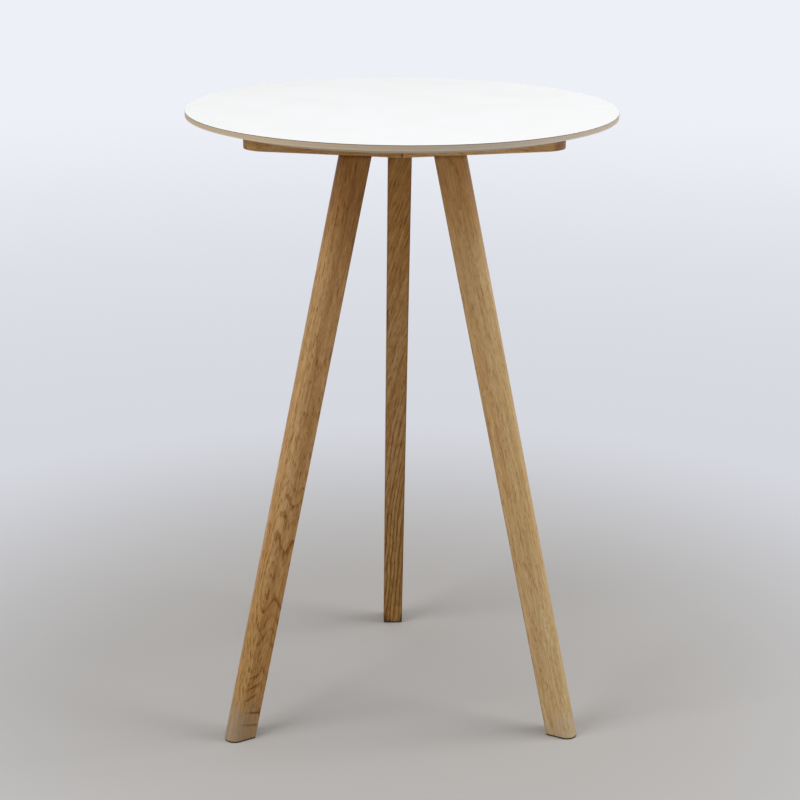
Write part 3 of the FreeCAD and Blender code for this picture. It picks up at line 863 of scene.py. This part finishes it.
def zinc(name):
    """Bright and dull patches, with fine upright brushing."""
    material, place = begin(name)
    x, y, z = millimetres(place)
    mottle = cloud((x, y, z), fine=0.3, slow=0.3, detail=3.0, roughness=0.6)
    brushing = cloud((x, y, z), fine=3.0, slow=0.2)
    surface(
        place,
        Base_Color=blend(ease(mottle, 0.3, 0.7), ZINC_BRIGHT, ZINC_DULL),
        Metallic=1.0,
        Roughness=0.28 + 0.2 * mottle,
        Normal=bump(brushing, depth=0.00002),
    )
    return material


def beech(name):
    """Pale wood with short dark flecks and faint wide bands."""
    material, place = begin(name)
    x, y, z = millimetres(place)
    flecks = cloud((x, y, z), fine=1.4, slow=0.3, detail=3.0, roughness=0.6)
    bands = cloud((x, y, z), fine=0.2, slow=0.02)
    wood = blend(ease(flecks, 0.55, 0.7) * 0.7 + 0.3 * bands, BEECH_PALE, BEECH_FLECK)
    surface(place, Base_Color=wood, Roughness=0.6 + 0.1 * flecks, Normal=bump(flecks, depth=0.0001))
    return material


finishes = {"zinc_steel": zinc("zinc_plate"), "beech": beech("beech")}
for row in frame["record"]["subparts"]:
    if row["material_slot"] in finishes:
        dress(row["node"], finishes[row["material_slot"]])

# %% [markdown]
# ## Floor and light
#
# Round the table the floor is a plain grey sheet that takes the shadow of the feet. Further out it turns
# into a pale backdrop, so that no horizon cuts the picture. The light is soft: an even sky, and three
# large lamps above the table, one overhead and one to each side.

# %% Floor
FLOOR_REACH = 60.0
FLOOR_FADE_MM = (450.0, 1600.0)
BACKDROP_FADE_MM = (1200.0, 7000.0)
FLOOR_GREY = paint(198, 195, 192)
BACKDROP_LOW = paint(214, 216, 223)
BACKDROP_HIGH = paint(238, 240, 247)


def looks(tree):
    """1 for what the camera, reflections and clear materials look at, and 0 for the light that falls on
    things."""
    path = tree.nodes.new("ShaderNodeLightPath")
    kinds = ("Is Camera Ray", "Is Glossy Ray", "Is Transmission Ray")
    direct, mirrored, clear = [Wire(tree, path.outputs[kind]) for kind in kinds]
    return direct.math("MINIMUM", direct + mirrored + clear, 1.0)


def floor_finish(name):
    """Grey floor near the table, which gives way with distance to an evenly lit backdrop that gets paler."""
    material, place = begin(name)
    x, y, _ = millimetres(place)
    away = (x * x + y * y) ** 0.5
    backdrop = blend(ease(away, *BACKDROP_FADE_MM), BACKDROP_LOW, BACKDROP_HIGH)
    near = place.node("ShaderNodeBsdfDiffuse", {}, {"Color": FLOOR_GREY})
    far = place.node("ShaderNodeEmission", {}, {"Color": backdrop, "Strength": 1.0})
    share = ease(away, *FLOOR_FADE_MM) * looks(place.tree)
    lit = place.node("ShaderNodeMixShader", {}, {0: share, 1: near, 2: far})
    place.node("ShaderNodeOutputMaterial", {}, {"Surface": lit})
    return material


def floor_sheet():
    """One flat four-sided sheet, at the height that the pads stand on."""
    corners = [(x, y, 0.0) for x, y in ((-1, -1), (1, -1), (1, 1), (-1, 1))]
    mesh = bpy.data.meshes.new("floor")
    mesh.from_pydata((np.array(corners) * FLOOR_REACH).tolist(), [], [(0, 1, 2, 3)])
    sheet = bpy.data.objects.new("floor", mesh)
    bpy.context.scene.collection.objects.link(sheet)
    mesh.materials.append(floor_finish("floor"))


floor_sheet()
print("floor:", 2 * FLOOR_REACH, "m wide")

# %% Light
SKY_COLOUR = (0.95, 0.97, 1.0, 1.0)
SKY_STRENGTH = 0.3
LAMPS = {
    "overhead": {"at": (-0.1, -0.2, 3.3), "size": 2.6, "watts": 26.0},
    "left": {"at": (-2.6, -1.7, 2.7), "size": 2.2, "watts": 53.0},
    "right": {"at": (2.8, -0.3, 2.7), "size": 2.2, "watts": 54.0},
}


def sky():
    """Even light from all round. What the camera and reflections see of it is the pale backdrop."""
    world = bpy.data.worlds.new("sky")
    bpy.context.scene.world = world
    world.use_nodes = True
    tree = world.node_tree
    tree.nodes.clear()
    seen = looks(tree)
    light = seen.node("ShaderNodeBackground", {}, {"Color": SKY_COLOUR, "Strength": SKY_STRENGTH})
    backdrop = seen.node("ShaderNodeBackground", {}, {"Color": BACKDROP_HIGH, "Strength": 1.0})
    mixed = seen.node("ShaderNodeMixShader", {}, {0: seen, 1: light, 2: backdrop})
    seen.node("ShaderNodeOutputWorld", {}, {"Surface": mixed})


def lamp(name, at, size, watts):
    """Square soft lamp that faces the middle of the table."""
    light = bpy.data.lights.new(name, "AREA")
    light.shape = "SQUARE"
    light.size = size
    light.energy = watts
    hung = bpy.data.objects.new(name, light)
    bpy.context.scene.collection.objects.link(hung)
    middle = (cad_box[0] + cad_box[1]) / 2
    hung.location = at
    hung.rotation_euler = (middle - hung.location).to_track_quat("-Z", "Y").to_euler()


sky()
for lamp_name, lamp_sizes in LAMPS.items():
    lamp(lamp_name, **lamp_sizes)
print("lamps:", ", ".join(LAMPS))
